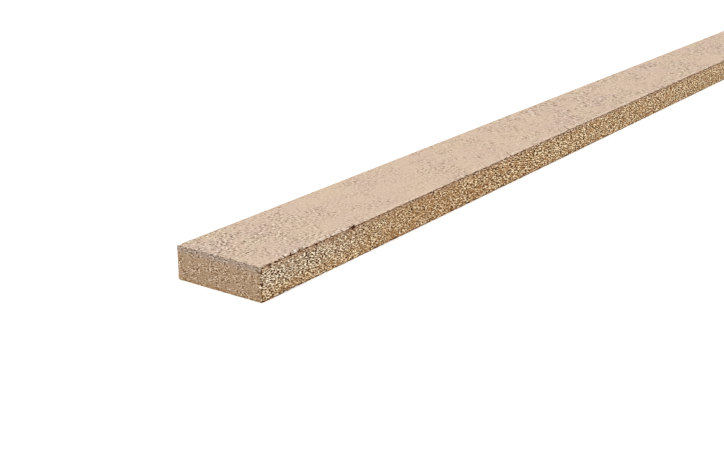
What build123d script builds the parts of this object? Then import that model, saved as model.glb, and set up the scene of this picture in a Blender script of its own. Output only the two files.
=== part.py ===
from build123d import *

import os

# MDF batten: one square-edged strip of medium-density fibreboard, lying on one of its wide faces.
# X runs along the length, Y across the width and Z up through the thickness.
# The origin is the middle of the face that the batten lies on.

# Driving dimensions, in millimetres
LENGTH = 2400.0  # from one cross-cut end to the other
WIDTH = 45.0  # across the wide faces, from one sawn edge to the other
THICKNESS = 15.0  # of the board that the strip is sawn from
ARRIS_RADIUS = 0.4  # easing that handling and sanding leave along the four long corners


def batten_section():
    """Section across the batten: a rectangle standing on its wide face, with all four arrises eased."""
    with BuildSketch(Plane.YZ) as section:
        RectangleRounded(WIDTH, THICKNESS, ARRIS_RADIUS, align=(Align.CENTER, Align.MIN))
    return section.sketch


def batten():
    """The section run along the whole length. The cross-cut leaves both ends square and sharp."""
    return extrude(batten_section(), amount=LENGTH / 2, both=True)


os.makedirs("parts", exist_ok=True)
export_step(batten(), "parts/batten.step")
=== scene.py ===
import math

import bmesh
import bpy
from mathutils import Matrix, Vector, noise


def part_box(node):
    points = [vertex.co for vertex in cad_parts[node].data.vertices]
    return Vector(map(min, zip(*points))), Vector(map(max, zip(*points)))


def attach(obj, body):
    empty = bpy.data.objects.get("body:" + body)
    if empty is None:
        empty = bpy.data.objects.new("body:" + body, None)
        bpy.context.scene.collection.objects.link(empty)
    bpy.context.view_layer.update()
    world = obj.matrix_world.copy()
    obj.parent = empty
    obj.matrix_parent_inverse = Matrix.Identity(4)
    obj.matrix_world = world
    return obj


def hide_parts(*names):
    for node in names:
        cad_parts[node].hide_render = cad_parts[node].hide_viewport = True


# MDF batten: raw fibreboard with sanded wide faces, sawn long edges and cross-cut ends.
# X runs along the length, Y across the width and Z up, in metres, as in the frame.

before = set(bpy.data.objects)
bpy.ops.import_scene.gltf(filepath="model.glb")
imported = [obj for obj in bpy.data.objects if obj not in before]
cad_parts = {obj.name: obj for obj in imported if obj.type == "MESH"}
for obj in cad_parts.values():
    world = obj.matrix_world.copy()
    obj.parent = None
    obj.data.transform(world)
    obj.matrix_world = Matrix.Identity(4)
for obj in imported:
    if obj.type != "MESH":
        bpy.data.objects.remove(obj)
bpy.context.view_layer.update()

MM = 0.001

# The batten's box, from the frame
LOW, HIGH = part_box("batten")
HALF_LENGTH = HIGH.x
HALF_WIDTH = HIGH.y
THICKNESS = HIGH.z

# Shape of the arrises
ARRIS_RADIUS = 0.4 * MM  # along the four long corners
ARRIS_FACETS = 2
END_ARRIS = 0.1 * MM  # all that handling takes off the corners of a cross-cut end
SMOOTH_BELOW = math.radians(50)  # faces that meet at less than this are shaded as one surface

# Relief that the saw leaves: fibres stand up to the full size, and torn pits lie as deep below the mean
FIBRE_LIFT = 0.1 * MM
FIBRE_GRAIN = 0.7 * MM  # size of one torn tuft, across the fibres
FIBRE_STRETCH = 2.2  # how much longer the tufts are along the batten
FIBRE_SLANT = math.radians(13)  # the tufts dip towards the far end

# How torn the fibres are, as shares of the full relief
TORN_PATCH = Vector((22 * MM, 0, 9 * MM))  # size of a torn patch on a sawn edge
TORN_EVERYWHERE = 0.45
TORN_IN_PATCHES = 0.6
TORN_NEAR_ENDS = 0.25
TORN_ON_ENDS = 0.6
TORN_LEVELS = (-0.25, 0.35)  # noise levels of calm and of fully torn patches
TORN_REACH = (60 * MM, 20 * MM)  # distances from an end where the extra tearing starts and is full
FACING = (0.5, 0.95)  # parts of a normal on an axis where a surface starts to face it and fully does

# Chips along the arrises: their size and depth, and the shares of the depth where they are shallower
CHIP_GRAIN = 1.0 * MM
CHIP_DEPTH = 0.6 * MM
CHIPS_OFF_THE_SAW_SIDE = 0.15
CHIPS_FAR_FROM_ENDS = 0.3
CHIP_REACH = (60 * MM, 10 * MM)  # distances from an end where the deeper chips start and are deepest
CORNER_TILT = 0.15  # a normal with two parts above this belongs to an arris

# How far torn fibres spill round the near corners of the ends
SPILL = 2.6 * MM
SPILL_LEVELS = (-0.3, 0.4)  # noise levels of no spill and of the full one

# Knocks on the top arrises: distance from the near end, side (-1 near edge, 1 far edge), reach, depth
KNOCKS = (
    (61.0 * MM, -1, 1.5 * MM, 0.8 * MM),
    (421.0 * MM, 1, 2.2 * MM, 0.3 * MM),
    (596.0 * MM, 1, 2.4 * MM, 0.35 * MM),
    (1.2 * MM, 1, 1.0 * MM, 0.3 * MM),
)

# Mesh rows, fine enough to carry the relief
EDGE_ROWS = 24  # up each sawn edge
FACE_ROWS = (0.7 * MM, 2.0 * MM, 8.0 * MM)  # distances in from each arris on the wide faces
END_COLUMNS = 60  # across each cross-cut end
MOST_CUTS = 100  # that one subdivision makes
NEARLY_ALONG = 0.99  # an edge with this much of its direction on X runs along the batten
FACING_AN_END = 0.5  # a face with this much of its normal on X belongs to an end

# Stretches of the length: where each ends, from the near end, and the spacing of its rows
STRETCHES = (
    (150 * MM, 0.6 * MM),
    (350 * MM, 1.0 * MM),
    (700 * MM, 1.75 * MM),
    (2250 * MM, 4.0 * MM),
    (2400 * MM, 0.75 * MM),
)

# Finishes, in the order of the piece's material slots
SANDED, SAWN, CUT = range(3)

# Fibre flecks: how far one bends out of its line in noise cells, and the noise level of the middle tone
FLECK_CURL = 0.6
FLECK_MIDDLE = 0.512
MIDDLE_TONE = 0.5

# Tones that the colours of a finish stand at, from its darkest pits to its palest tufts
TORN_TONES = (0.0, 0.3, 0.5, 0.7, 1.0)
SANDED_TONES = (0.0, 0.2, 0.35, 0.5, 0.7, 1.0)

# Floor and light
FLOOR_SIZE = 80
FLOOR_DROP = 0.1 * MM  # keeps the floor clear of the batten's underside
FLOOR_GLOW = 0.25  # lifts the white paper to the white of a studio
WORLD_GREY = (0.85, 0.85, 0.85, 1)
KEY_STRENGTH = 1.1
KEY_SPREAD = math.radians(60)
KEY_FROM = Vector((-0.35, -0.35, 0.87))

# Camera: fitted to the near end and the long edges
CAMERA_PLACE = (-1.52558, -0.30208, 0.17728)
CAMERA_DOWN = math.radians(19.09)  # below the horizon
CAMERA_HEADING = math.radians(-54.54)  # turn about Z from looking along Y
CAMERA_LENS = 58.87  # for the sensor below, both in millimetres
CAMERA_SENSOR = 36


def pick_edges(piece, wanted):
    """In edit mode, select only the edges that wanted(middle, direction) accepts."""
    bpy.ops.mesh.select_mode(type="EDGE")
    bpy.ops.mesh.select_all(action="DESELECT")
    mesh = bmesh.from_edit_mesh(piece.data)
    for edge in mesh.edges:
        start, end = (corner.co for corner in edge.verts)
        if wanted((start + end) / 2, (end - start).normalized()):
            edge.select_set(True)
    mesh.select_flush_mode()


def pick_faces(piece, wanted):
    """In edit mode, select only the faces whose normal wanted(normal) accepts."""
    bpy.ops.mesh.select_mode(type="FACE")
    bpy.ops.mesh.select_all(action="DESELECT")
    mesh = bmesh.from_edit_mesh(piece.data)
    for face in mesh.faces:
        if wanted(face.normal):
            face.select_set(True)
    mesh.select_flush_mode()


def slice_across(place, normal):
    """In edit mode, cut a row of edges round what is selected, in the plane at place."""
    bpy.ops.mesh.bisect(plane_co=place, plane_no=normal, threshold=MM / 1000)


def slice_all(place, normal):
    """In edit mode, cut a row of edges round the whole piece, in the plane at place."""
    bpy.ops.mesh.select_all(action="SELECT")
    slice_across(place, normal)


def saw_blank():
    """The strip as sawn: a block with its long arrises eased and the corners of its ends just broken."""
    bpy.ops.object.select_all(action="DESELECT")
    size = HIGH - LOW - Vector((2 * FIBRE_LIFT, 2 * FIBRE_LIFT, 0))
    bpy.ops.mesh.primitive_cube_add(size=1, location=(LOW + HIGH) / 2, scale=size)
    bpy.ops.object.transform_apply(location=True, rotation=True, scale=True)
    blank = bpy.context.object
    blank.name = "mdf_batten"
    bpy.ops.object.mode_set(mode="EDIT")
    pick_edges(blank, lambda middle, along: abs(along.x) > NEARLY_ALONG)
    bpy.ops.mesh.bevel(offset=ARRIS_RADIUS, segments=ARRIS_FACETS, affect="EDGES")
    end = HALF_LENGTH - FIBRE_LIFT
    pick_edges(blank, lambda middle, along: abs(middle.x) > end - ARRIS_RADIUS)
    bpy.ops.mesh.bevel(offset=END_ARRIS, segments=1, affect="EDGES")
    return blank


def slice_section():
    """Rows along the batten: even ones on the sawn edges, and a few beside each arris on the wide faces."""
    for row in range(1, EDGE_ROWS):
        height = ARRIS_RADIUS + (THICKNESS - 2 * ARRIS_RADIUS) * row / EDGE_ROWS
        slice_all((0, 0, height), (0, 0, 1))
    for inset in FACE_ROWS:
        for side in (-1, 1):
            slice_all((0, side * (HALF_WIDTH - ARRIS_RADIUS - inset), 0), (0, 1, 0))
    slice_all((0, 0, 0), (0, 1, 0))


def slice_ends(blank):
    """Columns across the two ends, so that they carry relief as fine as the edges do."""
    for column in range(1, END_COLUMNS):
        across = HALF_WIDTH * (2 * column / END_COLUMNS - 1)
        pick_faces(blank, lambda normal: abs(normal.x) > FACING_AN_END)
        slice_across((0, across, 0), (0, 1, 0))


def slice_length(blank):
    """Rows round the batten, closest where it is seen from nearby."""
    start = 0.0
    for stretch_end, spacing in STRETCHES:
        cells = round((stretch_end - start) / spacing)
        runs = math.ceil(cells / MOST_CUTS)
        run_length = (stretch_end - start) / runs
        for run in range(runs):
            begin = LOW.x + start + run * run_length
            end = begin + run_length
            if end < HALF_LENGTH - MM:
                slice_all((end, 0, 0), (1, 0, 0))
            pick_edges(
                blank,
                lambda middle, along: abs(along.x) > NEARLY_ALONG and begin < middle.x < end,
            )
            bpy.ops.mesh.subdivide(number_cuts=round(cells / runs) - 1)
        start = stretch_end


def weigh_vertices(piece, name, weight_at):
    """A vertex group whose weights are weight_at(place, normal), for the modifiers that follow."""
    group = piece.vertex_groups.new(name=name)
    for vertex in piece.data.vertices:
        weight = weight_at(vertex.co, vertex.normal)
        if weight > 0:
            group.add([vertex.index], min(weight, 1.0), "REPLACE")


def ease(value, start, end):
    """A smooth step from 0 at start to 1 at end."""
    share = min(max((value - start) / (end - start), 0.0), 1.0)
    return share * share * (3 - 2 * share)


def from_an_end(place):
    """Distance of a place from the nearer cross-cut end."""
    return HALF_LENGTH - abs(place.x)


def torn_share(place, normal):
    """How torn the fibres are: in patches on the sawn edges, evenly on the ends, not on the wide faces."""
    sawn = ease(abs(normal.y), *FACING)
    cut = ease(abs(normal.x), *FACING)
    level = noise.noise(Vector((place.x / TORN_PATCH.x, place.y, place.z / TORN_PATCH.z)))
    patch = ease(level, *TORN_LEVELS)
    near_end = ease(from_an_end(place), *TORN_REACH)
    on_edge = TORN_EVERYWHERE + TORN_IN_PATCHES * patch + TORN_NEAR_ENDS * near_end
    return sawn * on_edge + cut * TORN_ON_ENDS


def ragged_share(place, normal):
    """How ragged an arris is: most where the saw came out of the near edge, close to an end."""
    parts = sorted(abs(part) for part in normal)
    if parts[1] < CORNER_TILT:
        return 0.0
    on_saw_side = place.y < 0 and abs(normal.y) > CORNER_TILT
    saw_side = 1.0 if on_saw_side else CHIPS_OFF_THE_SAW_SIDE
    near_end = ease(from_an_end(place), *CHIP_REACH)
    return saw_side * (CHIPS_FAR_FROM_ENDS + (1 - CHIPS_FAR_FROM_ENDS) * near_end)


def make_fibre_axes():
    """An empty that slants and stretches the relief's patterns as the fibres lie."""
    bpy.ops.object.select_all(action="DESELECT")
    bpy.ops.object.empty_add(location=(0, 0, 0), rotation=(0, FIBRE_SLANT, 0))
    axes = bpy.context.object
    axes.scale = (FIBRE_STRETCH, 1, 1)
    return axes


def roughen(piece, name, axes, height, middle, grain, contrast, brightness):
    """Move the surface in or out along its normals by a cloudy pattern, where the group of that name says."""
    clouds = bpy.data.textures.new(name, type="CLOUDS")
    clouds.noise_scale = grain
    clouds.noise_depth = 1
    clouds.contrast = contrast
    clouds.intensity = brightness
    clouds.use_clamp = True
    bpy.ops.object.modifier_add(type="DISPLACE")
    modifier = piece.modifiers[-1]
    modifier.name = name
    modifier.texture = clouds
    modifier.texture_coords = "OBJECT"
    modifier.texture_coords_object = axes
    modifier.vertex_group = name
    modifier.strength = height
    modifier.mid_level = middle
    bpy.ops.object.modifier_apply(modifier=modifier.name)


def knock(piece, along, side, reach, depth):
    """Press in a top arris at one spot, with its surroundings following, as a knock does."""
    spot = Vector((LOW.x + along, side * HALF_WIDTH, THICKNESS))
    bpy.ops.mesh.select_mode(type="VERT")
    bpy.ops.mesh.select_all(action="DESELECT")
    mesh = bmesh.from_edit_mesh(piece.data)
    nearest = min(mesh.verts, key=lambda vertex: (vertex.co - spot).length)
    nearest.select_set(True)
    mesh.select_flush_mode()
    bpy.ops.transform.translate(
        value=Vector((0, -side, -1)).normalized() * depth,
        use_proportional_edit=True,
        proportional_edit_falloff="SPHERE",
        proportional_size=reach,
    )


def vectors(piece, of):
    """The places or normals of a piece's vertices, as they are now."""
    return [getattr(vertex, of).copy() for vertex in piece.data.vertices]


def keep_lift(piece, places, normals):
    """Note on each vertex how far it has moved out along its old normal, in full fibre lifts."""
    lift = piece.data.attributes.new("fibre_lift", "FLOAT", "POINT")
    for index, vertex in enumerate(piece.data.vertices):
        lift.data[index].value = (vertex.co - places[index]).dot(normals[index]) / FIBRE_LIFT


def make_batten():
    """The finished batten: the blank with torn sawn edges, ragged arrises and a few knocks."""
    axes = make_fibre_axes()
    batten = saw_blank()
    slice_section()
    slice_ends(batten)
    slice_length(batten)
    bpy.ops.object.mode_set(mode="OBJECT")
    dress(batten)
    places = vectors(batten, "co")
    normals = vectors(batten, "normal")
    weigh_vertices(batten, "torn_fibre", torn_share)
    weigh_vertices(batten, "ragged_arris", ragged_share)
    roughen(
        batten,
        "torn_fibre",
        axes,
        height=2 * FIBRE_LIFT,
        middle=0.5,
        grain=FIBRE_GRAIN,
        contrast=2.2,
        brightness=1.0,
    )
    roughen(
        batten,
        "ragged_arris",
        axes,
        height=-CHIP_DEPTH,
        middle=0.0,
        grain=CHIP_GRAIN,
        contrast=5.0,
        brightness=0.5,
    )
    bpy.data.objects.remove(axes)
    bpy.ops.object.mode_set(mode="EDIT")
    for along, side, reach, depth in KNOCKS:
        knock(batten, along, side, reach, depth)
    bpy.ops.object.mode_set(mode="OBJECT")
    keep_lift(batten, places, normals)
    bpy.ops.object.shade_smooth_by_angle(angle=SMOOTH_BELOW)
    return batten


def dress(piece):
    """Give the faces of the blank their three finishes, by place.

    The sanded faces run to the middle of each long arris. Fibres torn out of the near edge spill a little
    way round the corners of the ends.
    """
    for finish in (sanded_face_finish(), sawn_edge_finish(), cross_cut_finish()):
        piece.data.materials.append(finish)
    end = HALF_LENGTH - FIBRE_LIFT - END_ARRIS
    edge = HALF_WIDTH - FIBRE_LIFT - ARRIS_RADIUS / 2
    for face in piece.data.polygons:
        level = noise.noise(Vector((0, 0, face.center.z / SPILL)))
        spill = SPILL * ease(level, *SPILL_LEVELS)
        if abs(face.center.x) > end and face.center.y > spill - HALF_WIDTH:
            face.material_index = CUT
        elif abs(face.center.x) > end or abs(face.center.y) > edge:
            face.material_index = SAWN
        else:
            face.material_index = SANDED


def linear(hex_colour):
    """An sRGB hex colour as linear RGBA."""
    shares = [int(hex_colour[at:at + 2], 16) / 255 for at in (1, 3, 5)]
    return [s / 12.92 if s <= 0.04045 else ((s + 0.055) / 1.055) ** 2.4 for s in shares] + [1.0]


def add_node(material, kind, settings=(), inputs=(), stops=()):
    """Add a node: its options, its inputs as values or as sockets to link, and a colour ramp's stops.

    A new ramp has stops at 0 and 1 already, so a colour for one of those goes to the stop that is there.
    """
    tree = material.node_tree
    node = tree.nodes.new(kind)
    for name, value in dict(settings).items():
        setattr(node, name, value)
    for name, value in dict(inputs).items():
        if isinstance(value, bpy.types.NodeSocket):
            tree.links.new(value, node.inputs[name])
        else:
            node.inputs[name].default_value = value
    for position, hex_colour in stops:
        elements = node.color_ramp.elements
        if position == 0:
            element = elements[0]
        elif position == 1:
            element = elements[-1]
        else:
            element = elements.new(position)
        element.color = linear(hex_colour)
    return node


def new_finish(name):
    """An empty material with its surface output, and the shader that its patterns feed."""
    material = bpy.data.materials.new(name)
    material.use_nodes = True
    material.node_tree.nodes.clear()
    shader = add_node(material, "ShaderNodeBsdfPrincipled")
    add_node(material, "ShaderNodeOutputMaterial", inputs={"Surface": shader.outputs["BSDF"]})
    return material, shader


def noise_share(material, place, size, start, end):
    """A soft random pattern of patches of this size, as a share from 0 to 1 between two noise levels."""
    at = add_node(
        material,
        "ShaderNodeMapping",
        {"vector_type": "TEXTURE"},
        {"Vector": place, "Scale": size},
    )
    patches = add_node(
        material,
        "ShaderNodeTexNoise",
        {},
        {"Vector": at.outputs["Vector"], "Scale": 1.0, "Detail": 2.0},
    )
    share = add_node(
        material,
        "ShaderNodeMapRange",
        {},
        {"Value": patches.outputs["Fac"], "From Min": start, "From Max": end},
    )
    return share.outputs["Result"]


def place_share(material, place, axis, start, end):
    """A smooth share from 0 at start to 1 at end, measured along an axis, with both ends alike along X."""
    along = add_node(material, "ShaderNodeSeparateXYZ", {}, {"Vector": place}).outputs[axis]
    if axis == "X":
        along = add_node(material, "ShaderNodeMath", {"operation": "ABSOLUTE"}, {0: along}).outputs["Value"]
    share = add_node(
        material,
        "ShaderNodeMapRange",
        {"interpolation_type": "SMOOTHSTEP"},
        {"Value": along, "From Min": start, "From Max": end},
    )
    return share.outputs["Result"]


def fibre_tone(material, place, layers, strengths):
    """Light and dark of the fibres, about the middle tone: layers of flecks, weaker or stronger as a whole.

    Real fibres are hundredths of a millimetre thick, too fine to show. The flecks stand for bundles of
    them and are drawn as coarse as they need to show, coarser along the middle of the length.
    A layer is a fleck's length, height and 1, the turn that brings the face's plane to X and Y, and a share
    with the contrast at its 0 and 1. A strength is a share with the factor at its 0 and 1.
    """
    total = 0.0
    for size, turn, share, least, most in layers:
        at = add_node(
            material,
            "ShaderNodeMapping",
            {"vector_type": "TEXTURE"},
            {"Vector": place, "Rotation": turn, "Scale": size},
        )
        flecks = add_node(
            material,
            "ShaderNodeTexNoise",
            {"noise_dimensions": "2D"},
            {
                "Vector": at.outputs["Vector"],
                "Scale": 1.0,
                "Detail": 1.0,
                "Roughness": 0.33,
                "Distortion": FLECK_CURL,
            },
        )
        contrast = add_node(
            material,
            "ShaderNodeMapRange",
            {},
            {"Value": share, "To Min": least, "To Max": most},
        )
        about_zero = add_node(
            material,
            "ShaderNodeMath",
            {"operation": "SUBTRACT"},
            {0: flecks.outputs["Fac"], 1: FLECK_MIDDLE},
        )
        total = add_node(
            material,
            "ShaderNodeMath",
            {"operation": "MULTIPLY_ADD"},
            {0: about_zero.outputs["Value"], 1: contrast.outputs["Result"], 2: total},
        ).outputs["Value"]
    for share, weakest, strongest in strengths:
        factor = add_node(
            material,
            "ShaderNodeMapRange",
            {},
            {"Value": share, "To Min": weakest, "To Max": strongest},
        )
        total = add_node(
            material,
            "ShaderNodeMath",
            {"operation": "MULTIPLY"},
            {0: total, 1: factor.outputs["Result"]},
        ).outputs["Value"]
    tone = add_node(material, "ShaderNodeMath", {"operation": "ADD"}, {0: total, 1: MIDDLE_TONE})
    return tone.outputs["Value"]


def with_painted_relief_shading(material, tone, part):
    """Painted shade and highlight: the tone made lighter on raised fibres and darker in pits and chips, by
    the mesh's own relief, where light and shade would fall on it.
    """
    lift = add_node(material, "ShaderNodeAttribute", {"attribute_name": "fibre_lift"})
    lifted = add_node(
        material,
        "ShaderNodeMath",
        {"operation": "MULTIPLY_ADD"},
        {0: lift.outputs["Fac"], 1: part, 2: tone},
    )
    return lifted.outputs["Value"]


def colouring(material, tone, tones, colours, overlays):
    """The colours that a tone gets, with other sets laid over the first as far as their shares say.

    Each set has one colour for each of the tones, from dark to pale.
    """
    first = add_node(material, "ShaderNodeValToRGB", {}, {"Fac": tone}, zip(tones, colours))
    colour = first.outputs["Color"]
    for share, other_colours in overlays:
        other = add_node(material, "ShaderNodeValToRGB", {}, {"Fac": tone}, zip(tones, other_colours))
        colour = add_node(
            material,
            "ShaderNodeMix",
            {"data_type": "RGBA"},
            {0: share, 6: colour, 7: other.outputs["Color"]},
        ).outputs[2]
    return colour


def finish_surface(material, shader, colour, tone, depth, smooth, rough):
    """Feed a finish's shader: its colour, and roughness and fine relief that follow the tone."""
    roughness = add_node(
        material,
        "ShaderNodeMapRange",
        {},
        {"Value": tone, "To Min": rough, "To Max": smooth},
    )
    relief = add_node(
        material,
        "ShaderNodeBump",
        {},
        {"Height": tone, "Distance": depth, "Strength": 0.5},
    )
    tree = material.node_tree
    tree.links.new(colour, shader.inputs["Base Color"])
    tree.links.new(roughness.outputs["Result"], shader.inputs["Roughness"])
    tree.links.new(relief.outputs["Normal"], shader.inputs["Normal"])
    shader.inputs["IOR"].default_value = 1.5
    shader.inputs["Specular IOR Level"].default_value = 0.03


def sawn_edge_finish():
    """Raw MDF as a saw leaves it: cream fibre tufts with dark pits between, greyer near the ends; painted
    shade darkens the pits, the band under the top arris, the lower part and the foot.
    """
    material, shader = new_finish("raw_mdf_sawn_edge")
    place = add_node(material, "ShaderNodeTexCoord").outputs["Object"]
    middle = place_share(material, place, "X", HALF_LENGTH - 20 * MM, HALF_LENGTH - 260 * MM)
    near_end = place_share(material, place, "X", HALF_LENGTH - 120 * MM, HALF_LENGTH - 10 * MM)
    core = place_share(material, place, "Z", THICKNESS - 0.8 * MM, THICKNESS - 4.5 * MM)
    # Painted shade towards the bottom: below 9 mm the sawn edges near the ends keep the warmer, darker core
    # colours
    painted_low_shade = place_share(material, place, "Z", 9.0 * MM, 1.5 * MM)
    # Painted contact shadow: the lowest millimetre of the sawn edges turns dark orange-brown, as shade along
    # the floor
    painted_contact_shadow = place_share(material, place, "Z", 0.9 * MM, 0.3 * MM)
    skin = place_share(material, place, "Z", THICKNESS - 3.0 * MM, THICKNESS - 0.9 * MM)
    # Painted shade: a darker band on the sawn edges just under the top arris
    arris = place_share(material, place, "Z", THICKNESS - 0.9 * MM, THICKNESS - 0.45 * MM)
    torn = noise_share(material, place, (6.5 * MM, 6.5 * MM, 2.8 * MM), 0.37, 0.63)
    upright = (math.radians(90), FIBRE_SLANT, 0)
    flecks = fibre_tone(
        material,
        place,
        layers=(
            ((1.25 * MM, 0.4 * MM, 1), upright, middle, 3.4, 1.6),
            ((2.1 * MM, 0.52 * MM, 1), upright, middle, 0.0, 4.1),
        ),
        strengths=((torn, 0.65, 1.33), (core, 0.7, 1.0), (near_end, 0.95, 1.12)),
    )
    core_colours = ("#341000", "#926B40", "#A47F59", "#AA8861", "#F7E2BC")
    colour = colouring(
        material,
        # Painted shade in the pits and painted highlight on the raised fibres, from the mesh's relief
        with_painted_relief_shading(material, flecks, part=0.12),
        TORN_TONES,
        core_colours,
        overlays=(
            (near_end, ("#341000", "#907253", "#9F896E", "#A8947B", "#FFF0D4")),
            # Painted shade towards the bottom
            (painted_low_shade, core_colours),
            # Painted contact shadow colours along the bottom arris
            (painted_contact_shadow, ("#140300", "#341602", "#4E2806", "#704212", "#C89850")),
            (skin, ("#341000", "#8A6A50", "#A28468", "#AC9074", "#E6D2B8")),
            # Painted shade colours under the top arris
            (arris, ("#2A0C00", "#684A30", "#8A6C52", "#96785E", "#C8B096")),
        ),
    )
    finish_surface(material, shader, colour, flecks, depth=0.05 * MM, smooth=0.85, rough=0.95)
    return material


def cross_cut_finish():
    """Raw MDF cut across: fibres end on, finer and calmer than on the sawn edges, greyer in the hard skin,
    with painted shade along the bottom.
    """
    material, shader = new_finish("raw_mdf_cross_cut_end")
    place = add_node(material, "ShaderNodeTexCoord").outputs["Object"]
    torn = noise_share(material, place, (5 * MM, 5 * MM, 2.4 * MM), 0.36, 0.66)
    skin = place_share(material, place, "Z", THICKNESS - 4.5 * MM, THICKNESS - 0.8 * MM)
    # Painted shade along the bottom of the ends: the lowest 2 mm turn darker and warmer
    painted_low_shade = place_share(material, place, "Z", 2.0 * MM, 0.4 * MM)
    arris = place_share(material, place, "Z", THICKNESS - 0.7 * MM, THICKNESS - 0.2 * MM)
    upright = (math.radians(90), 0, math.radians(90))
    flecks = fibre_tone(
        material,
        place,
        layers=(((1.0 * MM, 0.34 * MM, 1), upright, torn, 0.9, 3.5),),
        strengths=(),
    )
    colour = colouring(
        material,
        # Painted shade in the pits and painted highlight on the raised fibres, from the mesh's relief
        with_painted_relief_shading(material, flecks, part=0.05),
        TORN_TONES,
        ("#56340F", "#96785C", "#A2896D", "#AE967D", "#E2CEB6"),
        overlays=(
            (skin, ("#4C3020", "#937D6C", "#9D8A7A", "#A89586", "#CEBEAE")),
            # Painted shade along the bottom
            (painted_low_shade, ("#4A2400", "#8A6842", "#9E8060", "#AC9070", "#DCC49E")),
            (arris, ("#3A2014", "#846C5E", "#A08C7C", "#B09E8E", "#DCCABA")),
        ),
    )
    finish_surface(material, shader, colour, flecks, depth=0.04 * MM, smooth=0.85, rough=0.95)
    return material


def sanded_face_finish():
    """Raw MDF sanded fine at the mill: pale and even, with short darker and paler fibres lying in it, and a
    painted highlight along the near edge.
    """
    material, shader = new_finish("raw_mdf_sanded_face")
    place = add_node(material, "ShaderNodeTexCoord").outputs["Object"]
    past_end = place_share(material, place, "X", HALF_LENGTH - 10 * MM, HALF_LENGTH - 90 * MM)
    middle = place_share(material, place, "X", HALF_LENGTH - 90 * MM, HALF_LENGTH - 340 * MM)
    # Painted highlight: the sanded face turns paler and more flecked along its near edge only, where the
    # arris catches the light
    painted_edge_highlight = place_share(material, place, "Y", 3.0 * MM - HALF_WIDTH, 1.0 * MM - HALF_WIDTH)
    fibrous = noise_share(material, place, (14 * MM, 9 * MM, 9 * MM), 0.37, 0.66)
    creamy = noise_share(material, place, (26 * MM, 18 * MM, 18 * MM), 0.35, 0.65)
    flecks = fibre_tone(
        material,
        place,
        layers=(
            ((1.2 * MM, 0.6 * MM, 1), (0, 0, math.radians(-36)), past_end, 1.8, 0.9),
            ((2.6 * MM, 0.8 * MM, 1), (0, 0, math.radians(-52)), middle, 0.2, 1.05),
        ),
        strengths=((fibrous, 0.5, 1.6), (painted_edge_highlight, 1.0, 1.3)),
    )
    colour = colouring(
        # Painted shade in the pits and painted highlight on the raised fibres, from the mesh's relief
        material,
        with_painted_relief_shading(material, flecks, part=0.16),
        SANDED_TONES,
        ("#42261A", "#907561", "#BCA390", "#CDB4A2", "#D8C2B1", "#F0E2D2"),
        overlays=(
            (creamy, ("#44281A", "#927962", "#BEA78F", "#CFB8A1", "#DAC6AD", "#F2E6CE")),
            (painted_edge_highlight, ("#4A2C1C", "#A0866E", "#C6AE98", "#D6BEA8", "#E4D2BE", "#F8EEDE")),
        ),
    )
    finish_surface(material, shader, colour, flecks, depth=0.02 * MM, smooth=0.7, rough=0.8)
    return material


batten = make_batten()
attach(batten, "root")
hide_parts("batten")

# Floor
bpy.ops.object.select_all(action="DESELECT")
bpy.ops.mesh.primitive_plane_add(size=FLOOR_SIZE, location=(0, 0, -FLOOR_DROP))
floor = bpy.context.object
floor.name = "floor"
floor_paper, floor_shader = new_finish("white_paper")
floor_shader.inputs["Base Color"].default_value = linear("#F4F4F4")
floor_shader.inputs["Emission Color"].default_value = linear("#FFFFFF")
floor_shader.inputs["Emission Strength"].default_value = FLOOR_GLOW
floor_shader.inputs["Roughness"].default_value = 1.0
floor.data.materials.append(floor_paper)

# Light
world = bpy.data.worlds.new("studio")
world.use_nodes = True
world.node_tree.nodes["Background"].inputs["Color"].default_value = WORLD_GREY
bpy.context.scene.world = world
sun_data = bpy.data.lights.new("soft_key", "SUN")
sun_data.energy = KEY_STRENGTH
sun_data.angle = KEY_SPREAD
sun = bpy.data.objects.new("soft_key", sun_data)
sun.rotation_euler = KEY_FROM.to_track_quat("Z", "Y").to_euler()
bpy.context.scene.collection.objects.link(sun)
bpy.context.scene.view_settings.view_transform = "Standard"

# Camera
camera_data = bpy.data.cameras.new("camera")
camera_data.lens = CAMERA_LENS
camera_data.sensor_width = CAMERA_SENSOR
camera = bpy.data.objects.new("camera", camera_data)
bpy.context.scene.collection.objects.link(camera)
camera.location = CAMERA_PLACE
camera.rotation_euler = (math.radians(90) - CAMERA_DOWN, 0, CAMERA_HEADING)
bpy.context.scene.camera = camera
